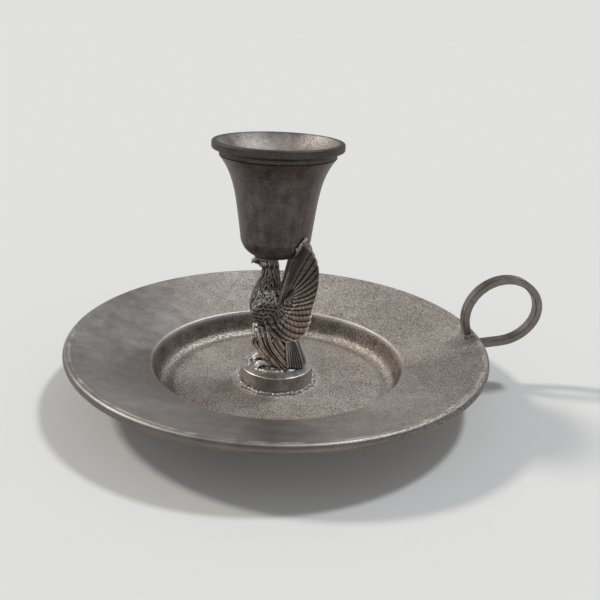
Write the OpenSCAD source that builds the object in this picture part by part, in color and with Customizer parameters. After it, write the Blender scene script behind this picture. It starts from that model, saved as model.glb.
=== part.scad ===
// Chamberstick: a saucer with a finger loop and an eagle that carries the candle cup.
// The origin is the centre of the saucer's underside, +Z is up and the eagle looks along -X.

/* [Drip pan] */
// Outer radius of the rolled edge
pan_r = 76; // [70:0.5:90]
// Height of the brim's top at the rolled edge
pan_h = 19.7; // [16:0.1:24]
// Radius of the well at its lip
well_lip_r = 46.1; // [42:0.1:50]
// Height of the lip of the well
well_lip_h = 10.8; // [9:0.1:13]
// Radius of the flat floor inside the well
well_floor_r = 40; // [36:0.1:41]
// Outward lean of the wall of the well
well_lean = 2.7; // [1.5:0.1:4]
// Thickness of the floor
floor_t = 2; // [1.4:0.1:3]
// Thickness of the brim and of the wall of the well
sheet_t = 1.8; // [1.2:0.1:2.4]
// Diameter of the rolled edge
bead_d = 3.2; // [2.8:0.1:4.2]
// Radius of the rounded lip of the well
lip_round = 0.8; // [0.4:0.1:1.2]

/* [Plinth] */
// Radius of the plinth
plinth_r = 13.3; // [12.5:0.1:16]
// Height of the plinth
plinth_h = 6.1; // [4:0.1:9]
// Distance of the plinth from the axis of the pan
plinth_shift = -0.3; // [-1:0.1:1]
// Rounding of the edge on top of the plinth
plinth_round = 0.5; // [0.2:0.1:1]
// Width of the solder fillet at the foot of the plinth
plinth_solder_w = 1.2; // [0.6:0.1:2]

/* [Candle cup] */
// Distance of the cup from the axis of the pan
cup_shift = -2.1; // [-3:0.1:0]
// Height of the cup from bottom to mouth
cup_h = 35; // [32:0.1:40]
// Radius of the cup where its rounded bottom ends
cup_waist_r = 12.5; // [12:0.1:13.5]
// Radius of the rounded bottom corner
cup_corner_r = 7.6; // [5.5:0.1:8.5]
// Growth of the radius by the straight taper
cup_taper = 3.4; // [2:0.1:5]
// Growth of the radius by the flare at the mouth
cup_flare = 4; // [2:0.1:6]
// Sharpness of the flare
cup_flare_power = 4.6; // [3:0.1:7]
// Thickness of the wall at the mouth
cup_wall = 1.8; // [1.2:0.1:2.2]
// Thickness of the bottom of the cup
cup_floor_t = 2.4; // [1.8:0.1:4]
// Height at which the straight bore ends and the inside opens out
bore_top_h = 20; // [14:0.5:22]

/* [Candle] */
// Diameter of the candle
candle_d = 22; // [20:0.1:22.2]
// Play between the candle and the wall of the bore
candle_play = 0.1; // [0.05:0.05:0.2]

/* [Drip collar] */
// Outer radius of the collar
collar_r = 22.4; // [21:0.1:24]
// Height of the collar's band and neck
collar_h = 4.8; // [4:0.1:6]
// Height of the narrower neck under the band
neck_h = 1.3; // [0.8:0.1:1.8]
// Step of the neck back from the band
neck_step = 2.5; // [1.5:0.1:3]
// Width of the flat top of the band
band_w = 1.9; // [1:0.1:3]
// Depth of the dished middle below the top of the band
dish_depth = 6; // [4:0.1:8]
// Play between the hole in the dish and the candle
dish_play = 0.7; // [0.3:0.1:1.2]
// Depth of the spigot in the cup
spigot_h = 4; // [2:0.1:6]
// Play of the spigot in the mouth of the cup
spigot_play = 0.2; // [0.1:0.05:0.4]
// Height of the seam between the cup and the collar
seam_h = 0.15; // [0.05:0.05:0.3]

/* [Finger loop] */
// Direction of the loop from the axis of the pan
loop_turn = 5.5; // [0:0.5:15]
// Width of the strip
strip_w = 4.2; // [3.6:0.1:6]
// Thickness of the strip
strip_t = 2.6; // [2:0.05:3]
// Bevel on the edges of the strip
strip_bevel = 0.35; // [0.2:0.05:0.5]
// Distance of the upper foot from the rolled edge
foot_inset = 4; // [3.5:0.1:5]
// Distance of the end of the tail from the rolled edge
tail_inset = 8.9; // [7:0.1:14]
// Bend of the rising side, radius
rise_r = 13.6; // [12:0.1:16]
// Bend of the rising side, turn
rise_turn = 37; // [32:1:42]
// Bend of the crown, radius
crown_r = 15.1; // [14:0.1:16]
// Bend of the crown, turn
crown_turn = 65; // [60:1:70]
// Bend of the shoulder, radius
shoulder_r = 13.3; // [12:0.1:15]
// Bend of the shoulder, turn
shoulder_turn = 64; // [58:1:70]
// Bend of the far end, radius
far_r = 10.8; // [10:0.1:12]
// Bend of the far end, turn
far_turn = 65; // [60:1:70]
// Bend of the underside, radius
under_r = 15.5; // [14:0.1:17]

/* [Eagle] */
// Height of the eagle from the plinth to its crown
eagle_h = 41.8; // [38:0.2:46]
// Half of the width of the breast
breast_half_w = 4.7; // [4.2:0.1:4.8]
// Thickness of the solder between the crown and the cup
head_solder_t = 0.25; // [0.15:0.05:0.6]
// Number of long feathers in the tail
tail_feathers = 7; // [5:1:9]
// Number of plume rows on each thigh
plume_count = 5; // [3:1:6]

/* [Wings] */
// Number of long feathers in each wing
wing_feathers = 13; // [9:1:15]
// Distance of the wings' inner faces from the middle of the body
wing_gap = 4.85; // [4.85:0.05:5.6]
// Thickness of a wing at its root
wing_root_t = 1.9; // [1.5:0.1:2.4]
// Thickness of a wing at the feather tips
wing_edge_t = 1.1; // [0.8:0.1:1.5]
// Height of the step from one feather to the next
feather_step = 0.45; // [0.2:0.05:0.6]
// Length of the rounded tips of the feathers
feather_tip = 1.1; // [0.5:0.1:1.6]
// Play between a wing tip and the wall of the cup
tip_play = 0.2; // [0.1:0.05:0.4]

/* [Hidden] */
$fn = 128;

pewter = "#6d6864";
dark_pewter = "#4d4744";
old_pewter = "#57504c";
bright_solder = "#a39e98";

// ---- outline helpers ----
function unit(v) = v / norm(v);
function mix(a, b, t) = a + (b - a) * t;
// Point where the line through p along d meets the line through q along e
function meet(p, d, q, e) =
    let (s = ((q.x - p.x) * e.y - (q.y - p.y) * e.x) / (d.x * e.y - d.y * e.x)) p + s * d;
// Arc that rounds the corner p between its neighbours a and b
function arc_at(a, p, b, r, steps = 8) =
    let (
        u = unit(a - p),
        v = unit(b - p),
        half = acos(u * v) / 2,
        centre = p + unit(u + v) * r / sin(half),
        first = p + u * r / tan(half),
        last = p + v * r / tan(half),
        from = atan2(first.y - centre.y, first.x - centre.x),
        to = atan2(last.y - centre.y, last.x - centre.x),
        turn = (to - from + 540) % 360 - 180
    ) [for (i = [0 : steps]) centre + r * [cos(from + turn * i / steps), sin(from + turn * i / steps)]];
// Outline of corners [x, y, radius], each rounded by its own radius
function rounded(path) =
    let (n = len(path), at = [for (c = path) [c.x, c.y]])
    [for (i = [0 : n - 1]) each
        path[i].z == 0 ? [at[i]] : arc_at(at[(i + n - 1) % n], at[i], at[(i + 1) % n], path[i].z)];
// Smooth value at x of a table of [x, value, ...] rows, column c
function along(table, x, c = 1) =
    let (
        n = len(table),
        hits = [for (i = [0 : n - 2]) if (x >= table[i][0] && x <= table[i + 1][0]) i],
        i = len(hits) > 0 ? hits[0] : x < table[0][0] ? 0 : n - 2,
        a = table[i],
        b = table[i + 1],
        before = table[max(i - 1, 0)],
        after = table[min(i + 2, n - 1)],
        w = b[0] - a[0],
        t = (x - a[0]) / w,
        slope_a = i == 0 ? (b[c] - a[c]) / w : (b[c] - before[c]) / (b[0] - before[0]),
        slope_b = i == n - 2 ? (b[c] - a[c]) / w : (after[c] - a[c]) / (after[0] - a[0])
    ) a[c] * (2 * t ^ 3 - 3 * t ^ 2 + 1) + slope_a * w * (t ^ 3 - 2 * t ^ 2 + t)
        + b[c] * (3 * t ^ 2 - 2 * t ^ 3) + slope_b * w * (t ^ 3 - t ^ 2);

// ---- drip pan ----
bead_centre = [pan_r - bead_d / 2, pan_h - bead_d / 2];
brim_start = [well_lip_r, well_lip_h];
// The top of the brim runs over into the rolled edge without a step
brim_span = bead_centre - brim_start;
brim_slope = atan2(brim_span.y, brim_span.x) + asin(bead_d / 2 / norm(brim_span));
brim_dir = [cos(brim_slope), sin(brim_slope)];
bead_top = bead_centre + bead_d / 2 * [-brim_dir.y, brim_dir.x];
brim_under = bead_top + sheet_t * [brim_dir.y, -brim_dir.x];
bead_end = brim_slope - 180 + asin(2 * sheet_t / bead_d - 1);
wall_foot = [well_lip_r - well_lean, floor_t];
wall_dir = unit(brim_start - wall_foot);
wall_outer = wall_foot + sheet_t * [wall_dir.y, -wall_dir.x];
wall_lean_angle = atan2(wall_dir.y, wall_dir.x);
cove_r = (wall_foot.x - well_floor_r) * tan(90 - wall_lean_angle / 2);
under_corner = meet(brim_under, brim_dir, wall_outer, wall_dir);
base_corner = meet(wall_outer, wall_dir, [0, 0], [1, 0]);
function brim_top_z(r) = brim_start.y + (r - brim_start.x) * tan(brim_slope);
function brim_under_z(r) = brim_under.y + (r - brim_under.x) * tan(brim_slope);

module pan_shell() {
    bead = [for (a = steps(90 + brim_slope, bead_end, 28))
        bead_centre + bead_d / 2 * [cos(a), sin(a)]];
    rotate_extrude()
        polygon(rounded([
            [0, floor_t, 0],
            [wall_foot.x, wall_foot.y, cove_r],
            [brim_start.x, brim_start.y, lip_round],
            for (p = bead) [p.x, p.y, 0],
            [under_corner.x, under_corner.y, lip_round],
            [base_corner.x, base_corner.y, cove_r + sheet_t],
            [0, 0, 0]]));
}

module drip_pan() {
    color(pewter) pan_shell();
}

// ---- plinth ----
plinth_top = floor_t + plinth_h;

module plinth() {
    color(old_pewter)
        translate([plinth_shift, 0, floor_t])
            rotate_extrude()
                polygon(rounded([
                    [0, 0, 0],
                    [plinth_r, 0, 0],
                    [plinth_r, plinth_h, plinth_round],
                    [0, plinth_h, 0]]));
}

module plinth_solder() {
    color(bright_solder)
        translate([plinth_shift, 0, floor_t])
            rotate_extrude()
                polygon([
                    [plinth_r, 0],
                    [plinth_r + plinth_solder_w, 0],
                    [plinth_r + 0.45 * plinth_solder_w, 0.22 * plinth_solder_w],
                    [plinth_r + 0.18 * plinth_solder_w, 0.5 * plinth_solder_w],
                    [plinth_r, 0.95 * plinth_solder_w]]);
}

// ---- candle cup ----
crown_z = plinth_top + eagle_h;
cup_base = crown_z + head_solder_t;
mouth_z = cup_base + cup_h;
bore_r = candle_d / 2 + candle_play;
corner_centre_r = cup_waist_r - cup_corner_r;
inner_corner_r = bore_r - corner_centre_r;
// Outer radius of the cup at height h over its bottom
function cup_r(h) =
    h < cup_corner_r
        ? corner_centre_r + sqrt(max(0, cup_corner_r ^ 2 - (cup_corner_r - h) ^ 2))
        : let (t = (h - cup_corner_r) / (cup_h - cup_corner_r))
            cup_waist_r + cup_taper * t + cup_flare * t ^ cup_flare_power;
// Inner radius of the cup at height h over its bottom
function cup_inner_r(h) =
    h < cup_corner_r
        ? corner_centre_r + sqrt(inner_corner_r ^ 2 - (cup_corner_r - h) ^ 2)
        : h < bore_top_h
            ? bore_r
            : mix(bore_r, cup_r(cup_h) - cup_wall, ((h - bore_top_h) / (cup_h - bore_top_h)) ^ 1.6);
function steps(a, b, n) = [for (i = [0 : n]) mix(a, b, i / n)];

module candle_cup() {
    corner_h = [for (a = steps(0, 90, 10)) cup_corner_r * (1 - cos(a))];
    color(dark_pewter)
        translate([cup_shift, 0, cup_base])
            rotate_extrude()
                polygon([
                    [0, 0],
                    for (h = corner_h) [cup_r(h), h],
                    for (h = steps(cup_corner_r, cup_h, 16)) if (h > cup_corner_r) [cup_r(h), h],
                    for (h = steps(cup_h, bore_top_h, 8)) [cup_inner_r(h), h],
                    for (h = steps(cup_corner_r, cup_floor_t, 6)) [cup_inner_r(h), h],
                    [0, cup_floor_t]]);
}

// ---- drip collar ----
collar_z = mouth_z + seam_h;
dish_r = bore_r + dish_play;
dish_edge_r = collar_r - band_w;
band_round = 0.7;
module drip_collar() {
    dish = [for (t = steps(0.9, 0, 9)) [
        mix(dish_r, dish_edge_r, t),
        collar_h - dish_depth * (1 - t ^ 1.8)]];
    spigot = [for (h = steps(-spigot_h, -0.3, 4)) [
        cup_inner_r(cup_h + h) - spigot_play,
        h]];
    spigot_top = spigot[len(spigot) - 1];
    rim = rounded([
        [spigot_top.x, 0, 0],
        [collar_r - neck_step, 0, 0.3],
        [collar_r - neck_step, neck_h, 0],
        [collar_r, neck_h + 0.4 * neck_step, band_round],
        [collar_r, collar_h, band_round],
        [dish_edge_r, collar_h, 0]]);
    color(old_pewter)
        translate([cup_shift, 0, collar_z])
            rotate_extrude()
                polygon(concat(spigot, rim, dish, [[dish_r, -spigot_h]]));
}

// ---- finger loop ----
// The strip's middle line lies in the plane of x and z, before the turn about the pan's axis.
// It rises square from the brim, bends over in five arcs and runs back under the rolled edge.
foot_r = pan_r - foot_inset;
foot_point = [foot_r, brim_top_z(foot_r)];
foot_heading = 90 + brim_slope;
seat_play = 0.03;
tail_end_r = pan_r - tail_inset;
tail_seat = [tail_end_r, brim_under_z(tail_end_r) - seat_play];
to_bead = bead_centre - tail_seat;
tail_slope = atan2(to_bead.y, to_bead.x) - asin((bead_d / 2 + seat_play) / norm(to_bead));
tail_end = tail_seat + strip_t / 2 * [sin(tail_slope), -cos(tail_slope)];
whole_turn = foot_heading + 180 - tail_slope;
under_turn = whole_turn - rise_turn - crown_turn - shoulder_turn - far_turn;
bends = [
    [rise_r, rise_turn],
    [crown_r, crown_turn],
    [shoulder_r, shoulder_turn],
    [far_r, far_turn],
    [under_r, under_turn]];
// Headings at the start of each bend
function turned(n) = n == 0 ? 0 : bends[n - 1][1] + turned(n - 1);
headings = [for (i = [0 : len(bends)]) foot_heading - turned(i)];
function direction(a) = [cos(a), sin(a)];
function right_of(a) = [sin(a), -cos(a)];
// Distance covered by a bend that starts at heading a
function bend_move(bend, a) = bend[0] * (right_of(a) - right_of(a - bend[1]));
bend_moves = [for (i = [0 : len(bends) - 1]) bend_move(bends[i], headings[i])];
function total(list, n) = n == 0 ? [0, 0] : list[n - 1] + total(list, n - 1);
// The two straight legs take up what the bends leave between the foot and the tail
span = tail_end - foot_point - total(bend_moves, len(bends));
foot_dir = direction(foot_heading);
tail_dir = direction(foot_heading - whole_turn);
legs_cross = foot_dir.x * tail_dir.y - foot_dir.y * tail_dir.x;
foot_leg = (span.x * tail_dir.y - span.y * tail_dir.x) / legs_cross;
tail_leg = (foot_dir.x * span.y - foot_dir.y * span.x) / legs_cross;
bend_starts = [for (i = [0 : len(bends)]) foot_point + foot_leg * foot_dir + total(bend_moves, i)];

// Outline of the strip's section: x is its thickness, y its width
strip_outline = [
    [-strip_t / 2, -strip_w / 2 + strip_bevel],
    [-strip_t / 2 + strip_bevel, -strip_w / 2],
    [strip_t / 2 - strip_bevel, -strip_w / 2],
    [strip_t / 2, -strip_w / 2 + strip_bevel],
    [strip_t / 2, strip_w / 2 - strip_bevel],
    [strip_t / 2 - strip_bevel, strip_w / 2],
    [-strip_t / 2 + strip_bevel, strip_w / 2],
    [-strip_t / 2, strip_w / 2 - strip_bevel]];
// The section set square on the middle line at point p with heading a
function strip_ring(p, a) = [for (c = strip_outline) let (q = p + c.x * right_of(a)) [q.x, c.y, q.y]];
// Point and heading after a turn of t degrees along bend i
function on_bend(i, t) = [bend_starts[i] + bend_move([bends[i][0], t], headings[i]), headings[i] - t];
bend_step = 7;
// The foot starts inside the brim and is cut to its shape
foot_sink = 0.6;
strip_line = [
    [foot_point - foot_sink * direction(foot_heading), foot_heading],
    for (i = [0 : len(bends) - 1]) let (n = ceil(bends[i][1] / bend_step))
        for (k = [0 : n - 1]) on_bend(i, bends[i][1] * k / n),
    [bend_starts[len(bends)], headings[len(bends)]],
    [tail_end, headings[len(bends)]]];

// Ladder of triangles across a ring of n points, from its first and last point inward
function ladder(n) = [for (k = [0 : ceil(n / 2) - 2]) each [
    [k, k + 1, n - 1 - k],
    if (n - 2 - k > k + 1) [k + 1, n - 2 - k, n - 1 - k]]];
// Closed skin over rings of points, each counter-clockwise about the way to the next
module skin(rings) {
    n = len(rings[0]);
    last = len(rings) - 1;
    polyhedron(
        points = [for (ring = rings) each ring],
        faces = [
            each ladder(n),
            for (i = [0 : last - 1], k = [0 : n - 1]) let (m = (k + 1) % n) each [
                [i * n + k, (i + 1) * n + m, i * n + m],
                [i * n + k, (i + 1) * n + k, (i + 1) * n + m]],
            for (t = ladder(n)) [last * n + t.z, last * n + t.y, last * n + t.x]]);
}

module loop_strip() {
    rotate([0, 0, loop_turn])
        skin([for (s = strip_line) strip_ring(s[0], s[1])]);
}

module finger_loop() {
    color(old_pewter)
        difference() {
            loop_strip();
            pan_shell();
        }
}

// Solder round the upper foot, cut to the shape of the brim and the rolled edge
foot_solder_h = 1.3;
foot_solder_w = 0.9;
module loop_upper_solder() {
    color(bright_solder)
        difference() {
            rotate([0, 0, loop_turn])
                translate([foot_point.x, 0, foot_point.y])
                    rotate([0, 90 - foot_heading, 0])
                        translate([0, 0, -foot_sink])
                            difference() {
                                linear_extrude(foot_sink + foot_solder_h)
                                    polygon([for (c = strip_outline)
                                        c + foot_solder_w * [sign(c.x), sign(c.y)]]);
                                translate([0, 0, foot_solder_h / 2])
                                    cube([
                                        strip_t + 2 * seat_play,
                                        strip_w + 2 * seat_play,
                                        2 * (foot_sink + foot_solder_h)], center = true);
                            }
            pan_shell();
        }
}

// Solder in the wedge between the tail of the strip, the brim and the rolled edge
wedge_inset = 0.6;
wedge_gap = 0.6;
module loop_lower_solder() {
    start = tail_seat.x + wedge_inset;
    end = bead_centre.x - wedge_gap;
    function over_tail(x) = tail_seat.y + (x - tail_seat.x) * tan(tail_slope) + seat_play;
    color(bright_solder)
        difference() {
            rotate([0, 0, loop_turn])
                rotate([90, 0, 0])
                    linear_extrude(strip_w + 1, center = true)
                        polygon([
                            [start, over_tail(start)],
                            [end, over_tail(end)],
                            [end, bead_centre.y],
                            [start, brim_under_z(start) + sheet_t / 2]]);
            pan_shell();
        }
}

// ---- eagle ----
// The figure is drawn in millimetres over the plinth and stretched to its height.
drawn_h = 41.8;
stretch = eagle_h / drawn_h;
function at_h(h) = plinth_top + h * stretch;
// Ridge profile of overlapping feathers: n steps over t from 0 to 1
function shingle(t, n) = 1 - (t * n - floor(t * n));

// Trunk from the plinth to the crown: height, front, back, half width
trunk = [
    [0, 0.5, 7, 3.6],
    [4, -3, 7, 3.6],
    [8, -5.5, 6.5, 4],
    [12, -7.5, 6, 4.4],
    [15.5, -8.2, 5.3, 4.5],
    [19, -9.9, 5, 4.7],
    [23, -11.1, 4.2, 4.7],
    [26, -10.7, 2.8, 4.6],
    [29, -9.8, 1.2, 4.1],
    [32, -8.4, 0.2, 3.3],
    [35, -7, -0.3, 2.8],
    [38, -6.7, -0.6, 2.6],
    [40, -7.4, -0.9, 2.7],
    [41.2, -8, -1.2, 2.5],
    [41.8, -7.4, -1.8, 2]];
trunk_points = 20;
function trunk_y(x, h) =
    let (
        front = along(trunk, h, 1),
        back = along(trunk, h, 2),
        half = along(trunk, h, 3) * breast_half_w / 4.7,
        k = (x - (front + back) / 2) / ((back - front) / 2))
    half * sqrt(max(0, 1 - k * k));
function trunk_ring(h) =
    let (
        front = along(trunk, h, 1),
        back = along(trunk, h, 2),
        half = along(trunk, h, 3) * breast_half_w / 4.7)
    [for (k = [0 : trunk_points - 1]) let (a = 360 * k / trunk_points)
        [(front + back) / 2 + (back - front) / 2 * cos(a), half * sin(a), at_h(h)]];

// Thigh and leg plumage on one side: height, front, back, outer face
thigh = [
    [0, -0.5, 5, 5.6],
    [2, -2.5, 4.4, 6],
    [4, -4.7, 3.8, 6.3],
    [6, -6.2, 3.2, 6.5],
    [8, -7.7, 2.6, 6.6],
    [10, -9.6, 2, 6.7],
    [11.8, -10.4, 1.4, 6.6],
    [13.5, -9.9, 0.8, 6.1],
    [15, -8.4, 0.4, 5.2],
    [16.5, -6.6, 0, 4.3]];
thigh_inner = 0.7;
thigh_points = 24;
plume_depth = 0.5;
function thigh_ring(h) =
    let (
        front = along(thigh, h, 1),
        back = along(thigh, h, 2),
        outer = along(thigh, h, 3),
        mid_y = (outer + thigh_inner) / 2)
    [for (k = [0 : thigh_points - 1]) let (
        a = 360 * k / thigh_points,
        lift = a < 180 ? -plume_depth * (1 - shingle(1 - a / 180, plume_count)) : 0)
        [(front + back) / 2 + ((back - front) / 2 + lift) * cos(a),
            mid_y + ((outer - thigh_inner) / 2 + lift) * sin(a), at_h(h)]];

// Outer face of a thigh at x and height h, without its plume steps, or 0 beside it
function thigh_y(x, h) =
    h > thigh[len(thigh) - 1][0] ? 0
    : let (
        front = along(thigh, h, 1),
        back = along(thigh, h, 2),
        outer = along(thigh, h, 3),
        k = (x - (front + back) / 2) / ((back - front) / 2))
    abs(k) > 1 ? 0 : (outer + thigh_inner) / 2 + (outer - thigh_inner) / 2 * sqrt(1 - k * k);

// Tail feather number k, counted from the middle: a rounded blade in three spans
tail_root = [4.6, 12.5];
tail_tip_x = 9.6;
tail_half_w = 5.2;
tail_feather_t = 1.3;
module tail_blade(k, t) {
    side = k / ((tail_feathers - 1) / 2);
    half = mix(0.9, tail_half_w / tail_feathers * 1.1, t);
    x = mix(tail_root.x, tail_tip_x - 1.4 * side * side, t) + 0.9 * sin(180 * t);
    translate([x, side * mix(1.4, tail_half_w - 0.9, t), at_h(tail_root.y * (1 - t))])
        rotate([0, 0, -12 * side])
            scale([1, half / tail_feather_t * 2, 1])
                cylinder(d = tail_feather_t, h = 0.2, $fn = 8);
}

module tail_feather(k) {
    spans = 3;
    for (i = [0 : spans - 1])
        hull() {
            tail_blade(k, i / spans);
            tail_blade(k, (i + 1) / spans);
        }
}

// Beak, from the face to the tip: distance, underside, top, half width
beak = [
    [-6.3, 38.4, 41.4, 1.8],
    [-8, 38.8, 41.7, 1.6],
    [-9, 39.2, 41.5, 1.25],
    [-9.9, 39.4, 41.1, 0.9],
    [-10.6, 39.3, 40.5, 0.45]];
beak_points = 10;
function beak_ring(row) = [for (k = [0 : beak_points - 1]) let (a = -360 * k / beak_points)
    [row[0], row[3] * cos(a), at_h((row[1] + row[2]) / 2 + (row[2] - row[1]) / 2 * sin(a))]];

// Foot: a shank out of the thigh and three toes of two joints each
toe_spread = [-1.9, 0, 1.9];
ankle_x = -3.2;
ankle_y = 3.2;
shank_top_x = -2.2;
shank_h = 6;
shank_r = 1.4;
module toe_joint(p, r) {
    translate([p.x, p.y, plinth_top])
        cylinder(r1 = r, r2 = 0.55 * r, h = 1.5 * r, $fn = 8);
}

module foot(side, reach) {
    ankle = [ankle_x, side * ankle_y];
    hull() {
        toe_joint(ankle, 1.2);
        translate([shank_top_x, side * ankle_y, at_h(shank_h)])
            sphere(r = shank_r, $fn = 10);
    }
    for (spread = toe_spread) {
        tip = [reach, side * ankle_y + spread];
        knuckle = mix(ankle, tip, 0.55);
        hull() {
            toe_joint(ankle, 1.2);
            toe_joint(knuckle, 1.1);
        }
        hull() {
            toe_joint(knuckle, 1.1);
            toe_joint(tip, 0.4);
        }
    }
}

module eagle_body() {
    color(dark_pewter) {
        skin([for (h = steps(0, drawn_h, 23)) trunk_ring(h)]);
        for (side = [0, 1])
            mirror([0, side, 0])
                skin([for (h = steps(0, 16.5, 13)) thigh_ring(h)]);
        for (k = [-(tail_feathers - 1) / 2 : (tail_feathers - 1) / 2])
            tail_feather(k);
        skin([for (row = beak) beak_ring(row)]);
        foot(-1, -7.4);
        foot(1, -10);
    }
}

module head_solder() {
    crown = trunk[len(trunk) - 1];
    color(bright_solder)
        translate([(crown[1] + crown[2]) / 2, 0, crown_z])
            scale([(crown[2] - crown[1]) / 2 / crown[3], 1, 1])
                cylinder(r = crown[3], h = head_solder_t);
}

// ---- wings ----
// Feathers from the lowest to the leading edge: place, root x and height, tip x and height,
// sideways bow, and how far the tip stands out from the body
wing_map = [
    [0, -3.4, 18, 4.4, 10.1, 1.5, 0.2],
    [0.15, -2.4, 19.2, 8, 12.5, 1.9, 0.8],
    [0.3, -1.5, 20.3, 10.1, 16, 1.7, 1.3],
    [0.42, -0.5, 21.9, 11.2, 19.5, 1.4, 1.6],
    [0.55, 0.2, 24, 11.9, 24, 1.2, 1.9],
    [0.65, 0.6, 26.1, 12.8, 28.5, 1, 2.2],
    [0.75, 0.8, 28.6, 13.5, 33, 1, 2.5],
    [0.85, 0.9, 31.3, 13.4, 38.5, 1.2, 2.8],
    [0.93, 0.8, 32.8, 12, 44.5, 1.4, 3],
    [1, 0.4, 33.5, 6.7, 51.4, 0, 3]];
covert_end = 0.42;
covert_t = 0.4;
// Rows from the root to the tip; the two at the end of the coverts make their step
wing_rows = [0, 0.14, 0.28, covert_end - 0.02, covert_end + 0.02, 0.58, 0.74, 0.88, 1];
feather_samples = [0.03, 0.35, 0.65, 0.97];
wing_places = [for (i = [0 : wing_feathers - 1], w = feather_samples) (i + w) / wing_feathers];
// Place in x and z at u over the fan and v along the feather
function wing_xz(u, v) =
    let (
        w = u * wing_feathers - floor(u * wing_feathers),
        root = [along(wing_map, u, 1), along(wing_map, u, 2)],
        tip = [along(wing_map, u, 3), along(wing_map, u, 4)],
        d = unit(tip - root),
        middle = (root + tip) / 2 + along(wing_map, u, 5) * [d.y, -d.x],
        s = v * (1 - feather_tip / norm(tip - root) * (2 * w - 1) ^ 2),
        p = root * (1 - s) ^ 2 + 2 * middle * s * (1 - s) + tip * s ^ 2)
    [p.x, at_h(p.y)];
thigh_play = 0.2;
// Half width of the cup at x and z, with play
function hug_y(x, z) =
    z < cup_base ? 0
    : let (r = cup_r(min(z - cup_base, cup_h)) + tip_play) sqrt(max(0, r * r - (x - cup_shift) ^ 2));
function wing_inner_y(u, v, p) = max(
    wing_gap + along(wing_map, u, 6) * v * v,
    hug_y(p.x, p.y),
    thigh_y(p.x, (p.y - plinth_top) / stretch) + thigh_play);
function wing_point(u, v, outside) =
    let (
        p = wing_xz(u, v),
        w = u * wing_feathers - floor(u * wing_feathers),
        t = mix(wing_root_t, wing_edge_t, v)
            + feather_step * (1 - w) * min(1, 4 * v)
            + (v < covert_end ? covert_t : 0))
    [p.x, wing_inner_y(u, v, p) + (outside ? t : 0), p.y];

// Lobe of small coverts in front of the wing, over the side of the breast
lobe_x = -4.5;
lobe_h = 21.4;
lobe_half_l = 5.1;
lobe_half_h = 4.3;
lobe_rim_t = 0.5;
lobe_dome = 0.9;
lobe_step = 0.4;
lobe_play = 0.12;
// Rows of the lobe from bottom to top, and whether a row of feather tips stands out there
lobe_rows = [
    [-1, 1], [-0.53, 0], [-0.47, 1], [-0.03, 0],
    [0.03, 1], [0.47, 0], [0.53, 1], [1, 0]];
function lobe_point(a, row, outside) =
    let (
        x = lobe_x + lobe_half_l * sin(a),
        h = lobe_h + lobe_half_h * cos(a) * row[0],
        dome = cos(a) * (1 - row[0] ^ 2),
        t = lobe_rim_t + lobe_dome * dome + lobe_step * row[1])
    [x, trunk_y(x, h) + lobe_play + (outside ? t : 0), at_h(h)];
function lobe_ring(a) = [
    for (row = lobe_rows) lobe_point(a, row, true),
    for (k = [len(lobe_rows) - 1 : -1 : 0]) lobe_point(a, lobe_rows[k], false)];

module wing() {
    skin([for (u = wing_places) [
        for (v = wing_rows) wing_point(u, v, false),
        for (k = [len(wing_rows) - 1 : -1 : 0]) wing_point(u, wing_rows[k], true)]]);
    skin([for (a = steps(-80, 80, 10)) lobe_ring(a)]);
}

module right_wing() {
    color(dark_pewter) wing();
}

module left_wing() {
    color(dark_pewter) mirror([0, 1, 0]) wing();
}

// Solder over the lobe, in the corner between the root of a wing and the side of the body
shoulder_reach = 6;
shoulder_play = 0.12;
module shoulder_solder() {
    skin([for (u = steps(0.66, 0.9, 7)) let (
        p = wing_xz(u, 0),
        h = (p.y - plinth_top) / stretch,
        front = along(trunk, h, 1),
        back = along(trunk, h, 2),
        edge = p.x - shoulder_play,
        root_y = wing_inner_y(u, 0, p),
        seat = min(edge, mix(front, back, 0.78)),
        reach = shoulder_reach * sin(180 * (u - 0.6) / 0.36)) [
            [edge - 0.5 * reach, mix(root_y + 0.8 * wing_root_t, trunk_y(seat - reach, h), 0.5), p.y],
            for (t = [1, 0.66, 0.33, 0]) let (x = seat - t * reach)
                [x, trunk_y(x, h) + shoulder_play, p.y],
            [edge, root_y + 0.1, p.y],
            [edge, root_y + 0.8 * wing_root_t, p.y]]]);
}

module right_shoulder_solder() {
    color(bright_solder) shoulder_solder();
}

module left_shoulder_solder() {
    color(bright_solder) mirror([0, 1, 0]) shoulder_solder();
}

// Solder in the corner between the leading edge of a wing and the wall of the cup
tip_solder_w = 1.3;
last_place = wing_places[len(wing_places) - 1];
module wing_solder() {
    skin([for (v = steps(0.66, 0.99, 7)) let (
        p = wing_xz(last_place, v),
        inner = wing_inner_y(last_place, v, p),
        x = p.x - tip_solder_w * sin(180 * (v - 0.6) / 0.45),
        z = p.y) [
            [x, hug_y(x, z), z],
            [p.x - seat_play, inner + seat_play, z],
            [p.x - seat_play, inner + 0.6 * wing_edge_t, z]]]);
}

module right_wing_solder() {
    color(bright_solder) wing_solder();
}

module left_wing_solder() {
    color(bright_solder) mirror([0, 1, 0]) wing_solder();
}

drip_pan();
plinth();
plinth_solder();
eagle_body();
left_wing();
right_wing();
left_shoulder_solder();
right_shoulder_solder();
head_solder();
left_wing_solder();
right_wing_solder();
candle_cup();
drip_collar();
finger_loop();
loop_upper_solder();
loop_lower_solder();
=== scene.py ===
import math
import random

import bpy
import numpy as np
from mathutils import Matrix, Vector


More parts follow.
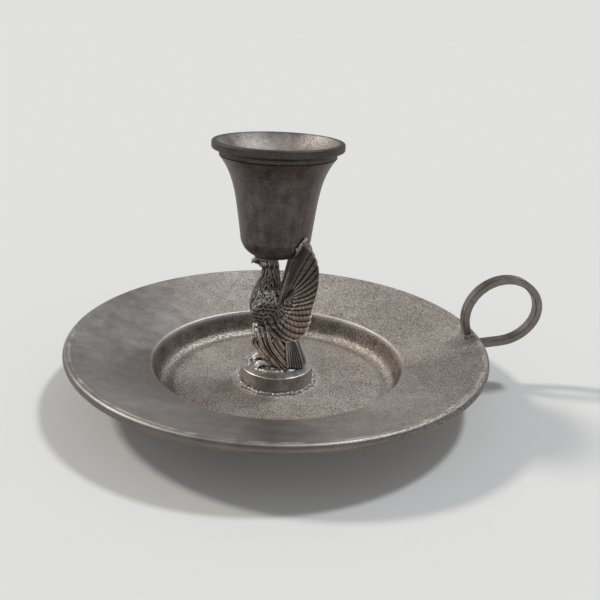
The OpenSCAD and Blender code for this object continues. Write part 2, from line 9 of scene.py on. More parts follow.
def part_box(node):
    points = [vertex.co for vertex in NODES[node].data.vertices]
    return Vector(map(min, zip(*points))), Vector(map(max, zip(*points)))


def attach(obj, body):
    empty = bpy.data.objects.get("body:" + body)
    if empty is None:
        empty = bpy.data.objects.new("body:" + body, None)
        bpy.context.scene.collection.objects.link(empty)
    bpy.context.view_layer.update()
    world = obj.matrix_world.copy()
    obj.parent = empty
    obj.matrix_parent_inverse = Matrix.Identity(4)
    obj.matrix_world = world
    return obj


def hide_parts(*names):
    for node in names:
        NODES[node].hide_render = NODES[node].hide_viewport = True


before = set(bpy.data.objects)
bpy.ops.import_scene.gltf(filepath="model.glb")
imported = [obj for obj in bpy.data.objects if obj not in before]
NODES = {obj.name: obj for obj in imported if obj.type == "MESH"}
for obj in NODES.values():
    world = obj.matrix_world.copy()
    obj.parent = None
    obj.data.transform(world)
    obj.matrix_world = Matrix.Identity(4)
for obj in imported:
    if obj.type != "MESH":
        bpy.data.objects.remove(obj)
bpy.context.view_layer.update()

MM = 0.001
STAND = "stand"


def lay(a, b, t):
    """Value between a and b."""
    return a + (b - a) * t


def smooth(t):
    """0 to 1 with soft ends."""
    t = min(max(t, 0.0), 1.0)
    return t * t * (3 - 2 * t)


def unit(v):
    """The same direction, one long."""
    v = np.asarray(v, float)
    return v / max(np.linalg.norm(v), 1e-9)


def circle(count, turn=1):
    """Cosine and sine of evenly spaced angles; with turn -1 they go round the other way."""
    angles = [turn * 2 * math.pi * k / count for k in range(count)]
    return [(math.cos(a), math.sin(a)) for a in angles]


# ---- places taken from the frame, in millimetres ----
def box_mm(node):
    """Lowest and highest corner of a node."""
    low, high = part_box(node)
    return np.array(low) / MM, np.array(high) / MM


PLINTH_LOW, PLINTH_HIGH = box_mm("plinth")
PLINTH_TOP = PLINTH_HIGH[2]
PLINTH_X = (PLINTH_LOW[0] + PLINTH_HIGH[0]) / 2
PLINTH_R = (PLINTH_HIGH[0] - PLINTH_LOW[0]) / 2
WELL_FLOOR = PLINTH_LOW[2]
CUP_LOW, CUP_HIGH = box_mm("candle_cup")
CUP_X = (CUP_LOW[0] + CUP_HIGH[0]) / 2
CUP_BASE = CUP_LOW[2]
COLLAR_R = box_mm("drip_collar")[1][1]
# width of the collar's rim, which is darkened with painted shade
COLLAR_RIM = 1.8
PAN_R, PAN_TOP = box_mm("drip_pan")[1][1:]
# radius and height of the lip round the well
WELL_R, WELL_TOP = 46.1, 10.8

# ---- camera: the photograph's view, in a 600 by 600 picture ----
PICTURE = 600
FOCAL_PX = 720.0
SENSOR = 36.0
# distance in front of the object and height over the floor, in millimetres
CAMERA_BACK = 243.6
CAMERA_UP = 125.5
# turn down, to the right and about the view's own axis, in radians
PITCH, YAW, ROLL = 0.361, 0.030, 0.044
# nearest and furthest thing seen, in metres
CLIP = (0.005, 20)


def add_camera():
    data = bpy.data.cameras.new("camera")
    data.sensor_width = SENSOR
    data.lens = SENSOR * FOCAL_PX / PICTURE
    data.clip_start, data.clip_end = CLIP
    cam = bpy.data.objects.new("camera", data)
    bpy.context.collection.objects.link(cam)
    level = math.cos(PITCH)
    forward = Vector((math.sin(YAW) * level, math.cos(YAW) * level, -math.sin(PITCH)))
    right = Vector((math.cos(YAW), -math.sin(YAW), 0))
    up = right.cross(forward)
    rolled_right = right * math.cos(ROLL) + up * math.sin(ROLL)
    rolled_up = up * math.cos(ROLL) - right * math.sin(ROLL)
    place = Matrix((rolled_right, rolled_up, -forward)).transposed().to_4x4()
    place.translation = Vector((0, -CAMERA_BACK, CAMERA_UP)) * MM
    cam.matrix_world = place
    bpy.context.scene.camera = cam


# ---- node helpers ----
class Wire:
    """An output of a node, which takes +, - and * as a number in a formula does."""

    def __init__(self, nodes, socket):
        self.nodes, self.socket = nodes, socket

    def __add__(self, other):
        return self.nodes.math("ADD", self, other)

    def __sub__(self, other):
        return self.nodes.math("SUBTRACT", self, other)

    def __mul__(self, other):
        return self.nodes.math("MULTIPLY", self, other)


class Nodes:
    """Short calls for building the nodes of one material or of the world."""

    def __init__(self, owner):
        owner.use_nodes = True
        self.owner = owner
        self.tree = owner.node_tree
        self.tree.nodes.clear()

    def add(self, kind, **values):
        node = self.tree.nodes.new(kind)
        for key, value in values.items():
            setattr(node, key, value)
        return node

    def read(self, kind, output, **values):
        """Output of a new node that takes no input."""
        return Wire(self, self.add(kind, **values).outputs[output])

    def put(self, socket, value):
        """Links an input to a wire, or sets its own value."""
        if isinstance(value, Wire):
            self.tree.links.new(value.socket, socket)
        else:
            socket.default_value = value

    def work(self, kind, inputs, output=0, **values):
        """Output of a new node whose inputs are given by name or number."""
        node = self.add(kind, **values)
        for key, value in inputs.items():
            self.put(node.inputs[key], value)
        return Wire(self, node.outputs[output])

    def math(self, operation, a, b=0.0):
        return self.work("ShaderNodeMath", {0: a, 1: b}, operation=operation)

    def vector(self, operation, a, b):
        return self.work("ShaderNodeVectorMath", {0: a, 1: b}, operation=operation)

    def joined(self, x, y, z):
        return self.work("ShaderNodeCombineXYZ", {0: x, 1: y, 2: z})

    def split(self, vector):
        node = self.add("ShaderNodeSeparateXYZ")
        self.put(node.inputs[0], vector)
        return [Wire(self, output) for output in node.outputs]

    def place(self):
        """Place on the piece, in millimetres."""
        return self.vector("MULTIPLY", self.read("ShaderNodeTexCoord", "Object"), (1 / MM, 1 / MM, 1 / MM))

    def noise(self, where, scale, detail, rough):
        inputs = {"Vector": where, "Scale": scale, "Detail": detail, "Roughness": rough}
        return self.work("ShaderNodeTexNoise", inputs, "Fac")

    def ramp(self, value, low, high, to_low=0.0, to_high=1.0):
        """Goes softly from to_low, where the value is low, to to_high, where it is high."""
        inputs = {"Value": value, "From Min": low, "From Max": high, "To Min": to_low, "To Max": to_high}
        return self.work("ShaderNodeMapRange", inputs, "Result", interpolation_type="SMOOTHSTEP")

    def band(self, value, start, full, fading, end):
        """1 from full to fading and 0 outside start and end."""
        return self.ramp(value, start, full) * self.ramp(value, end, fading)

    def colours(self, value, tones):
        node = self.add("ShaderNodeValToRGB")
        self.put(node.inputs["Fac"], value)
        ramp = node.color_ramp
        while len(ramp.elements) < len(tones):
            ramp.elements.new(0.5)
        for element, (place, colour) in zip(ramp.elements, tones):
            element.position = place
            element.color = (*colour, 1)
        return Wire(self, node.outputs["Color"])

    def blend(self, share, colour, over, mode="MIX"):
        """A share of the colour over, mixed into or multiplied with the colour."""
        inputs = {0: share, 6: colour, 7: (*over, 1)}
        return self.work("ShaderNodeMix", inputs, 2, data_type="RGBA", blend_type=mode)

    def show(self, shader, output="ShaderNodeOutputMaterial"):
        out = self.add(output)
        self.tree.links.new(shader.outputs[0], out.inputs["Surface"])
        return self.owner

    def metal(self, colour, roughness, height, bump_mm):
        shader = self.add("ShaderNodeBsdfPrincipled")
        shader.inputs["Metallic"].default_value = 1.0
        self.put(shader.inputs["Base Color"], colour)
        self.put(shader.inputs["Roughness"], roughness)
        bump = {"Strength": 1.0, "Distance": bump_mm * MM, "Height": height}
        self.put(shader.inputs["Normal"], self.work("ShaderNodeBump", bump, "Normal"))
        return self.show(shader)


# ---- materials ----
# each tone is a place on a mottled value from 0 to 1, and the colour there: pits first, rubbed metal last
PAN_TONES = [
    (0.25, (0.115, 0.102, 0.094)), (0.48, (0.335, 0.307, 0.287)),
    (0.62, (0.50, 0.467, 0.44)), (0.85, (0.80, 0.77, 0.735))]
CUP_TONES = [
    (0.28, (0.050, 0.038, 0.037)), (0.44, (0.095, 0.076, 0.073)),
    (0.58, (0.165, 0.138, 0.128)), (0.76, (0.40, 0.36, 0.33))]
COLLAR_TONES = [
    (0.30, (0.13, 0.112, 0.103)), (0.48, (0.33, 0.30, 0.282)),
    (0.66, (0.52, 0.485, 0.455)), (0.85, (0.85, 0.82, 0.78))]
PLINTH_TONES = [
    (0.30, (0.16, 0.147, 0.137)), (0.46, (0.36, 0.338, 0.32)),
    (0.62, (0.60, 0.57, 0.545)), (0.85, (0.86, 0.84, 0.81))]
LOOP_TONES = [
    (0.30, (0.12, 0.105, 0.098)), (0.48, (0.23, 0.205, 0.19)),
    (0.66, (0.38, 0.348, 0.325)), (0.85, (0.66, 0.63, 0.60))]
EAGLE_TONES = [
    (0.20, (0.030, 0.024, 0.022)), (0.48, (0.105, 0.087, 0.080)),
    (0.70, (0.22, 0.19, 0.172)), (0.97, (0.58, 0.54, 0.51))]
SOLDER_TONES = [
    (0.36, (0.16, 0.15, 0.14)), (0.50, (0.42, 0.40, 0.38)), (0.64, (0.80, 0.78, 0.75))]


def turned_coordinates(n, centre_x=0.0):
    """Place, its x, y and z, its radius, and its direction from the axis at centre_x, in millimetres."""
    where = n.vector("SUBTRACT", n.place(), (centre_x, 0.0, 0.0))
    x, y, z = n.split(where)
    r = n.math("SQRT", x * x + y * y)
    safe = n.math("MAXIMUM", r, 0.01)
    return where, (x, y, z), r, (n.math("DIVIDE", x, safe), n.math("DIVIDE", y, safe))


def pan_material():
    """Satin pewter: fine turning on the left and near brim, warm and pitted on the right and in the well."""
    n = Nodes(bpy.data.materials.new("pan_pewter"))
    where, (x, y, z), r, (ux, uy) = turned_coordinates(n)
    turning = n.noise(n.joined(r * 1.6, ux * 9.0, uy * 9.0), 1.0, 3.0, 0.6)
    broad = n.noise(where, 0.035, 3.0, 0.5)
    cloud = n.noise(where, 0.16, 4.0, 0.6)
    grain = n.noise(where, 1.9, 3.0, 0.65)
    fine = n.noise(where, 4.5, 2.0, 0.6)
    pits = n.ramp(grain, 0.47, 0.37)
    specks = n.ramp(grain, 0.55, 0.66)
    # the right-hand side and the well are worn lighter and rougher
    side = n.ramp(x * 0.8 + y * 0.5, -35.0, 35.0)
    in_well = n.ramp(r, WELL_R + 0.9, WELL_R - 3.1)
    pitted = n.math("MAXIMUM", side, in_well)
    tone = cloud * 0.24 + broad * 0.35 + turning * 0.08 + fine * 0.30
    tone = tone + pitted * 0.06 + in_well * 0.05
    tone = tone + specks * (pitted * 0.32) - pits * (pitted * 0.28 + 0.06)
    colour = n.blend(pitted * 0.55, n.colours(tone, PAN_TONES), (1.06, 0.98, 0.90), "MULTIPLY")
    # a dark ring on the floor of the well, and painted shade on its wall
    ring = n.band(r, WELL_R - 8.6, WELL_R - 6.5, WELL_R - 5.9, WELL_R - 4.1)
    colour = n.blend(ring * 0.30, colour, (0.12, 0.108, 0.10))
    wall = n.band(r, WELL_R - 5.1, WELL_R - 3.7, WELL_R - 0.9, WELL_R - 0.1)
    wall = wall * n.ramp(z, WELL_FLOOR + 0.6, WELL_FLOOR + 2.2)
    colour = n.blend(wall * n.ramp(cloud, 0.30, 0.62, 0.95, 0.55), colour, (0.34, 0.32, 0.30), "MULTIPLY")
    # painted highlights on the lip, most at the back, and on the crest of the rolled edge, most in front;
    # painted shade on the edge's outside
    lip = n.band(r, WELL_R - 1.2, WELL_R - 0.4, WELL_R + 0.1, WELL_R + 1.1)
    lip = lip * n.ramp(z, WELL_TOP - 1.5, WELL_TOP - 0.4) * n.ramp(y, -15.0, 35.0, 0.25, 1.0)
    colour = n.blend(lip * 0.5, colour, (0.92, 0.90, 0.87))
    # painted highlight along the crest of the rolled edge
    crest = n.band(r, PAN_R - 2.9, PAN_R - 2.4, PAN_R - 1.9, PAN_R - 1.4)
    crest = crest * n.ramp(z, PAN_TOP - 0.7, PAN_TOP - 0.2) * n.ramp(y, 15.0, -35.0, 0.12, 1.0)
    colour = n.blend(crest * n.ramp(cloud, 0.40, 0.66, 0.06, 0.7), colour, (0.90, 0.87, 0.84))
    # painted shade on the outside of the rolled edge
    outside = n.ramp(r, PAN_R - 1.1, PAN_R - 0.4) * n.ramp(z, PAN_TOP - 2.7, PAN_TOP - 2.1)
    colour = n.blend(outside * 0.55, colour, (0.06, 0.054, 0.05))
    # pale crust round the foot of the plinth
    crust = n.noise(where, 0.9, 4.0, 0.7)
    foot = n.ramp(r, PLINTH_R + 4.6, PLINTH_R + 1.6) * n.ramp(crust, 0.38, 0.58)
    colour = n.blend(foot * 0.75, colour, (0.92, 0.89, 0.85))
    rough = n.ramp(cloud, 0.3, 0.7, 0.42, 0.47) + pitted * 0.05
    height = grain * (pitted * 0.8 + 0.25) + turning * 0.05 - pits * (pitted * 0.5)
    return n.metal(colour, rough, height, 0.16)


def turned_material(name, centre_x, tones, rough, pit, bump_mm, streaks, painted_shade_beyond=None, pale_above=None):
    """Aged pewter for a turned piece: mottled, with faint upright streaks and scattered pits."""
    n = Nodes(bpy.data.materials.new(name))
    where, (_, _, z), r, (ux, uy) = turned_coordinates(n, centre_x)
    streak = n.noise(n.joined(z * 0.07, ux * 9.0, uy * 9.0), 1.0, 4.0, 0.6)
    cloud = n.noise(where, 0.22, 4.0, 0.6)
    grain = n.noise(where, 2.2, 3.0, 0.65)
    pits = n.ramp(grain, 0.40, 0.31)
    tone = cloud * 0.44 + streak * streaks + grain * 0.34 - pits * pit
    colour = n.colours(tone, tones)
    if painted_shade_beyond:
        # painted shade beyond this radius and on faces that don't look up; lighter within it
        up_facing = n.split(n.read("ShaderNodeTexCoord", "Normal"))[2]
        beyond = n.ramp(r, painted_shade_beyond - 0.7, painted_shade_beyond + 0.5)
        dark = n.math("MAXIMUM", beyond, n.ramp(up_facing, 0.5, 0.15))
        colour = n.blend(dark, colour, (0.30, 0.28, 0.28), "MULTIPLY")
    if pale_above:
        # rubbed and crusted above this height
        crust = n.noise(where, 0.8, 4.0, 0.7)
        top = n.ramp(z, pale_above - 0.5, pale_above) * n.ramp(crust, 0.36, 0.60, 0.15, 0.9)
        colour = n.blend(top, colour, (0.80, 0.77, 0.73))
    height = grain * 0.6 - pits * (3.0 * pit)
    return n.metal(colour, n.ramp(cloud, 0.3, 0.7, *rough), height, bump_mm)


def eagle_material():
    """Cast pewter, dark in its hollows and worn bright on its ridges. The mesh says where it is worn pale,
    cooler or lightened by painted light reflected from the pan, and a mark that a mesh lacks counts as 0."""
    n = Nodes(bpy.data.materials.new("eagle_pewter"))
    where = n.place()
    names = ("ridge", "worn", "cool", "painted_pan_light")
    ridge, worn, cool, painted_pan_light = (n.read("ShaderNodeAttribute", "Fac", attribute_name=name) for name in names)
    cloud = n.noise(where, 0.25, 3.0, 0.6)
    grain = n.noise(where, 3.2, 3.0, 0.65)
    crust = n.noise(where, 1.3, 4.0, 0.7)
    # painted light reflected from the pan lightens the lower body and wings, most on their ridges
    tone = ridge + (grain - 0.5) * 0.34 + (cloud - 0.5) * 0.30 + painted_pan_light * 0.12
    colour = n.colours(tone, EAGLE_TONES)
    colour = n.blend(painted_pan_light * n.ramp(ridge, 0.22, 0.55), colour, (1.80, 1.68, 1.58), "MULTIPLY")
    colour = n.blend(cool * 0.75, colour, (1.25, 1.40, 1.55), "MULTIPLY")
    pale = worn * n.ramp(crust + ridge * 0.3, 0.50, 0.74)
    colour = n.blend(pale, colour, (0.62, 0.60, 0.57))
    return n.metal(colour, n.ramp(ridge, 0.2, 0.9, 0.58, 0.38), grain, 0.10)


def solder_material():
    """Bright, crumbly solder."""
    n = Nodes(bpy.data.materials.new("solder"))
    grain = n.noise(n.place(), 1.7, 4.0, 0.7)
    return n.metal(n.colours(grain, SOLDER_TONES), n.ramp(grain, 0.3, 0.7, 0.55, 0.32), grain, 0.18)


# ---- mesh building ----
class Shape:
    """Gathers closed pieces, in millimetres, into one mesh."""

    def __init__(self):
        self.points, self.faces = [], []

    def add(self, points, faces):
        start = len(self.points)
        self.points.extend([tuple(p) for p in points])
        self.faces.extend([tuple(start + i for i in f) for f in faces])

    def rings(self, rings):
        """Closed skin over rings of equal length."""
        count = len(rings[0])
        points = [p for ring in rings for p in ring]
        base = len(points)
        end = base - count
        points += [np.mean(rings[0], axis=0), np.mean(rings[-1], axis=0)]
        faces = []
        for k in range(count):
            m = (k + 1) % count
            faces.append((m, k, base))
            faces.append((end + k, end + m, base + 1))
            faces += [(i + k, i + m, i + count + m, i + count + k) for i in range(0, end, count)]
        self.add(points, faces)

    def ball(self, centre, radii, rings, sides):
        rows = []
        for i in range(1, rings):
            a = math.pi * i / rings
            ring = [(math.sin(a) * c, math.sin(a) * s, -math.cos(a)) for c, s in circle(sides)]
            rows.append([np.array(centre) + np.array(radii) * point for point in ring])
        self.rings(rows)

    def blade(self, path, out, width, thick, crown, shaft, tip, steps, across=5, tilt=0.0, barb=0.0):
        """A feather along path(t), facing out(t): crowned, with a shaft, and rounded beyond tip."""
        near, root, shaft_half, base_share, bluntness = 0.02, 0.15, 0.16, 0.96, 0.02
        rings = []
        for i in range(steps + 1):
            t = i / steps
            here = np.array(path(t), float)
            ahead = unit(np.array(path(min(t + near, 1.0))) - np.array(path(max(t - near, 0.0))))
            side = unit(np.cross(unit(out(t)), ahead))
            face = unit(np.cross(ahead, side))
            half = width(t) if callable(width) else width
            if t > tip:
                half *= math.sqrt(max(bluntness, 1 - ((t - tip) / (1 - tip)) ** 2))
            if t < root:
                half *= lay(0.7, 1.0, t / root)
            top, bottom = [], []
            for k in range(across):
                s = 2 * k / (across - 1) - 1
                rise = crown * (1 - s * s) + tilt * s + shaft * math.exp(-((s / shaft_half) ** 2))
                rise += barb * math.sin(30 * t + 9 * abs(s))
                top.append(here + side * (s * half) + face * rise)
                bottom.append(here + side * (s * half * base_share) - face * thick)
            rings.append(top + bottom[::-1])
        self.rings(rings)

    def make(self, name, mirror=False):
        points = np.array(self.points) * MM
        faces = self.faces
        if mirror:
            points = points * (1, -1, 1)
            faces = [f[::-1] for f in faces]
        mesh = bpy.data.meshes.new(name)
        mesh.from_pydata(points.tolist(), [], faces)
        mesh.update()
        thing = bpy.data.objects.new(name, mesh)
        bpy.context.collection.objects.link(thing)
        return thing


def apply_modifiers(thing):
    graph = bpy.context.evaluated_depsgraph_get()
    mesh = bpy.data.meshes.new_from_object(thing.evaluated_get(graph))
    thing.modifiers.clear()
    old = thing.data
    thing.data = mesh
    bpy.data.meshes.remove(old)


# size of the cells that a casting is melted in, in millimetres, and the share of its triangles that stays
EAGLE_CELL, FINE_CELL = 0.17, 0.14
KEPT = 0.5


def cast(thing, cell_mm, keep=1.0):
    """Melts the overlapping pieces into one skin, as in a casting."""
    remesh = thing.modifiers.new("cast", "REMESH")
    remesh.mode = "VOXEL"
    remesh.voxel_size = cell_mm * MM
    soften = thing.modifiers.new("soften", "SMOOTH")
    soften.factor = 0.5
    soften.iterations = 1
    if keep < 1.0:
        thing.modifiers.new("thin", "DECIMATE").ratio = keep
    apply_modifiers(thing)
    for polygon in thing.data.polygons:
        polygon.use_smooth = True


def vertex_values(mesh, key):
    """A vector of every vertex, such as its place in metres or its normal."""
    values = np.empty(len(mesh.vertices) * 3)
    mesh.vertices.foreach_get(key, values)
    return values.reshape(-1, 3)


def write_mark(mesh, name, values):
    """Keeps one number for every vertex, for the material to read."""
    attribute = mesh.attributes.new(name, "FLOAT", "POINT")
    attribute.data.foreach_set("value", values.astype(np.float32))


# relief is measured after these rounds of softening, and counts for 1 over the number beside them
RELIEF_ROUNDS = {4: 1, 14: 3}


def mark_ridges(thing, scale_mm):
    """Writes the mark ridge: near 0 in hollows, 0.5 on flat places and near 1 on ridges."""
    mesh = thing.data
    count = len(mesh.vertices)
    points = vertex_values(mesh, "co") / MM
    normals = vertex_values(mesh, "normal")
    edges = np.empty(len(mesh.edges) * 2, int)
    mesh.edges.foreach_get("vertices", edges)
    a, b = edges.reshape(-1, 2).T
    degree = np.maximum(np.bincount(a, minlength=count) + np.bincount(b, minlength=count), 1)

    def average(values):
        """Mean of the neighbours of every vertex."""
        columns = [np.bincount(a, v[b], count) + np.bincount(b, v[a], count) for v in values.T]
        return np.column_stack(columns) / degree[:, None]

    softened = points
    total = np.zeros(count)
    for done in range(1, max(RELIEF_ROUNDS) + 1):
        softened = average(softened)
        if done in RELIEF_ROUNDS:
            total += ((points - softened) * normals).sum(1) / (scale_mm * RELIEF_ROUNDS[done])
    write_mark(mesh, "ridge", 0.5 + 0.5 * np.tanh(total))


def fade(values, low, high):
    """0 at low, 1 at high, soft in between."""
    t = np.clip((values - low) / (high - low), 0, 1)
    return t * t * (3 - 2 * t)


def mark(thing, name, rule):
    """Writes the mark that a rule gives for every vertex, from its place in millimetres."""
    write_mark(thing.data, name, rule(vertex_values(thing.data, "co") / MM))


def dress(thing, material, node):
    """Gives a built piece of the stand its material, its body and the node that it stands for."""
    thing.data.materials.clear()
    thing.data.materials.append(material)
    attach(thing, STAND)
    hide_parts(node)


def along(rows, at, column):
    """Smooth value of a column at a place in the first column."""
    rows = np.asarray(rows, float)
    xs, ys = rows[:, 0], rows[:, column]
    at = min(max(at, xs[0]), xs[-1])
    i = min(int(np.searchsorted(xs, at, side="right")) - 1, len(xs) - 2)
    w = xs[i + 1] - xs[i]
    t = (at - xs[i]) / w
    flat = (ys[i + 1] - ys[i]) / w
    before = flat if i == 0 else (ys[i + 1] - ys[i - 1]) / (xs[i + 1] - xs[i - 1])
    after = flat if i == len(xs) - 2 else (ys[i + 2] - ys[i]) / (xs[i + 2] - xs[i])
    return (
        ys[i] * (2 * t**3 - 3 * t**2 + 1)
        + before * w * (t**3 - 2 * t**2 + t)
        + ys[i + 1] * (3 * t**2 - 2 * t**3)
        + after * w * (t**3 - t**2)
    )


def curve(points):
    """Smooth path through points."""
    rows = [(i / (len(points) - 1), *p) for i, p in enumerate(points)]
    return lambda t: np.array([along(rows, t, c) for c in range(1, len(points[0]) + 1)])


# ---- eagle ----
# heights are over the plinth, in millimetres of a figure this high, and up() fits them to the node
EAGLE_HEIGHT = 41.8
STRETCH = (box_mm("eagle_body")[1][2] - PLINTH_TOP) / EAGLE_HEIGHT
# height, front, back, half width
TRUNK = [
    (0, 0.5, 7, 3.6), (4, -3, 7, 3.6), (8, -5.5, 6.5, 4), (12, -7.5, 6, 4.4), (15.5, -8.2, 5.3, 4.5),
    (19, -9.9, 5, 4.6), (23, -11.0, 4.2, 4.6), (26, -10.7, 2.8, 4.5), (29, -9.8, 1.2, 4.0),
    (32, -8.4, 0.2, 3.2), (35, -7, -0.3, 2.7), (38, -6.7, -0.6, 2.5), (40, -7.4, -0.9, 2.6),
    (41.2, -8, -1.2, 2.4), (EAGLE_HEIGHT, -7.4, -1.8, 1.9)]
# height, front, back, outer face of the thigh
THIGH_TOP = 16.5
THIGH_ROOT = 3.2
THIGH = [
    (0, -0.5, 5, 5.2), (2, -2.5, 4.4, 5.6), (4, -4.7, 3.8, 5.9), (6, -6.2, 3.2, 6.0), (8, -7.7, 2.6, 6.1),
    (10, -9.6, 2, 6.2), (11.8, -10.4, 1.4, 6.1), (13.5, -9.9, 0.8, 5.6), (15, -8.4, 0.4, 4.7),
    (THIGH_TOP, -6.6, 0, 3.8)]
# long plumes of the thigh: x and height at the knee, half way down and at the plinth
PLUMES = [
    (-9.4, 12.4, -8.5, 8.2, -2.2, 0.4), (-9.2, 13.9, -7.1, 8.3, -0.6, 0.3), (-7.8, 15.2, -5.4, 8.4, 0.8, 0.3),
    (-6.0, 15.8, -3.8, 8.6, 2.1, 0.5), (-4.4, 15.9, -2.3, 8.8, 3.2, 1.0), (-2.9, 15.6, -0.7, 9.1, 4.2, 2.0),
    (-1.5, 14.9, 0.8, 9.4, 4.8, 3.4), (-0.6, 13.6, 2.0, 9.8, 5.2, 5.2)]
# beak, from the brow to its hooked tip: x, lower and upper height, half width
BEAK = [
    (-6.4, 38.2, 41.5, 1.8), (-7.6, 38.4, 41.75, 1.6), (-8.6, 38.8, 41.7, 1.3), (-9.5, 39.0, 41.4, 1.0),
    (-10.2, 38.9, 40.8, 0.66), (-10.5, 38.3, 39.9, 0.36), (-10.55, 37.9, 38.9, 0.18)]
# core of the trunk under its plumes: height, depth below the skin, sides and steps up
CORE_HEIGHT, CORE_INSET, CORE_SIDES, CORE_STEPS = 41.7, 0.2, 40, 44
TAIL_FEATHERS, TAIL_EDGES = 9, 7
GROUND_LUMPS = 190


def up(h):
    return PLINTH_TOP + h * STRETCH


def raised(line):
    """A path with its heights fitted to the node."""
    return lambda t: (line(t)[0], line(t)[1], up(line(t)[2]))


def section(rows, h):
    """Middle, half depth and side of the trunk or a thigh at a height."""
    front, back, side = (along(rows, h, column) for column in (1, 2, 3))
    return (front + back) / 2, (back - front) / 2, side


def trunk_at(angle, h, lift=0.0):
    """Point on the trunk's skin, or lift above it."""
    middle, deep, half = section(TRUNK, h)
    return np.array([middle + (deep + lift) * math.cos(angle), (half + lift) * math.sin(angle), up(h)])


def trunk_out(angle, h):
    """Direction out of the trunk's skin."""
    turn, climb = 0.05, 0.5
    round_it = trunk_at(angle + turn, h) - trunk_at(angle - turn, h)
    rise = trunk_at(angle, min(h + climb, EAGLE_HEIGHT)) - trunk_at(angle, max(h - climb, 0))
    return unit(np.cross(round_it, rise))


def trunk_side(x, h):
    """Distance of the trunk's side from the middle plane."""
    middle, deep, half = section(TRUNK, h)
    k = (x - middle) / deep
    return half * math.sqrt(max(0.0, 1 - k * k))


def thigh_side(x, h):
    """Distance of a thigh's outer face from the middle plane."""
    middle, deep, outer = section(THIGH, h)
    k = (x - middle) / deep
    return THIGH_ROOT + (outer - THIGH_ROOT) * math.sqrt(max(0.0, 1 - min(abs(k), 1.0) ** 2.4))


def add_tufts(shape, rng, count, low, high, length, width, lift):
    """Short ragged plumes that lie down the trunk, at random places, and few of them down the front."""
    for _ in range(count):
        h, angle = rng.uniform(low, high), rng.uniform(0, 2 * math.pi)
        size = length * rng.uniform(0.6, 1.4)
        slant = rng.uniform(-0.2, 0.2)
        rise = lift * rng.uniform(-1.0, 1.5)
        broad = width * rng.uniform(0.6, 1.4)
        if rng.random() < 0.75 and math.cos(angle) < -0.6 and h < 37:
            continue
        top, bottom = min(h + size / 2, 41.3), max(h - size / 2, 0.3)
        shape.blade(
            lambda t: trunk_at(angle + slant * t, lay(top, bottom, t), lay(-0.35, rise, t)),
            lambda t: trunk_out(angle, lay(top, bottom, t)),
            broad, thick=0.7, crown=0.14, shaft=0.04, tip=0.3, steps=5)


def add_thigh(shape, side, rng):
    # core a little inside the thigh's skin, from this far off the middle plane
    inner, steps = 0.6, 14
    rings = []
    for i in range(steps + 1):
        h = THIGH_TOP * i / steps
        front, back, outer = (along(THIGH, h, c) for c in (1, 2, 3))
        front, back, outer = front + 0.5, back - 0.3, outer - 0.45
        middle, deep = (front + back) / 2, (back - front) / 2
        rings.append([
            (middle + deep * c, side * (outer + inner) / 2 + (outer - inner) / 2 * s, up(h))
            for c, s in circle(24)])
    shape.rings(rings)
    # long plumes sweep from the knee back and down to the plinth
    for k, (x0, h0, x1, h1, x2, h2) in enumerate(PLUMES):
        wave = rng.uniform(-0.35, 0.35)
        line = curve([
            (x0, h0), (lay(x0, x1, 0.6) - 0.5, lay(h0, h1, 0.5)), (x1, h1),
            (lay(x1, x2, 0.5) + wave * 0.5, lay(h1, h2, 0.5)), (x2, h2)])
        deep = 0.25 if k % 2 else -0.1

        def path(t):
            x, h = line(t)
            return (x, side * (thigh_side(x, h) - 0.15 - deep), up(max(h, 0.3)))

        shape.blade(
            path, lambda t: (-0.35 * (1 - t), side, 0.1), lambda t: lay(0.85, 0.98, t),
            thick=1.2, crown=0.36, tilt=0.16, shaft=0.16, barb=0.07, tip=0.88, steps=16, across=7)
    # ragged short plumes over the knee
    for _ in range(16):
        x, h = rng.uniform(-9.4, -1.5), rng.uniform(11.5, 16.2)
        reach, drop = rng.uniform(0.2, 1.4), rng.uniform(1.6, 2.8)
        lift = rng.uniform(-0.1, 0.25)
        broad = rng.uniform(0.4, 0.7)

        def path(t):
            at = (x + reach * t, h - drop * t)
            return (at[0], side * (thigh_side(*at) + lay(-0.35, lift, t)), up(at[1]))

        shape.blade(
            path, lambda t: (-0.2, side, 0.1), broad, thick=0.8, crown=0.2, shaft=0.08, tip=0.45, steps=6)


def add_tail(shape):
    for k in range(TAIL_FEATHERS):
        s = 2 * k / (TAIL_FEATHERS - 1) - 1
        layer = 0.30 * (1 - abs(s)) + (0.2 if k % 2 else 0.0)
        line = curve([
            (3.8, s * 1.6, 13.4), (6.0 + layer, s * 2.6, 9.5), (8.2 - 0.5 * abs(s) + layer, s * 3.7, 5.2),
            (10.2 - 1.3 * s * s + layer, s * 4.6, 0.25)])
        shape.blade(
            raised(line), lambda t: (1.0, 0.35 * s, 0.45), lambda t: lay(0.5, 0.74, t),
            thick=1.2, crown=0.2, shaft=0.14, barb=0.03, tip=0.95, steps=14, across=7)
    # the sides of the tail show the edges of the feathers under each other
    for side in (-1, 1):
        for k in range(TAIL_EDGES):
            s = k / (TAIL_EDGES - 1)
            line = curve([
                (lay(2.6, 5.0, s), side * 3.4, lay(11.4, 12.6, s)),
                (lay(3.0, 6.9, s), side * lay(4.7, 3.6, s), 8.4),
                (lay(3.4, 8.4, s), side * lay(5.3, 4.3, s), 4.2),
                (lay(3.9, 9.4, s), side * lay(5.5, 4.6, s), 0.2)])
            shape.blade(
                raised(line), lambda t: (0.15, side, 0.1), lambda t: lay(0.36, 0.56, t),
                thick=1.0, crown=0.22, tilt=0.10, shaft=0.06, tip=0.96, steps=12)
    # solid core under the feathers
    rings, steps = [], 8
    for i in range(steps + 1):
        t = i / steps
        x, h = lay(4.4, 6.4, t), lay(12.6, 0.1, t)
        deep, half = lay(1.2, 2.3, t), lay(2.6, 4.5, t)
        rings.append([(x + deep * c, half * s, up(h)) for c, s in circle(16, -1)])
    shape.rings(rings)


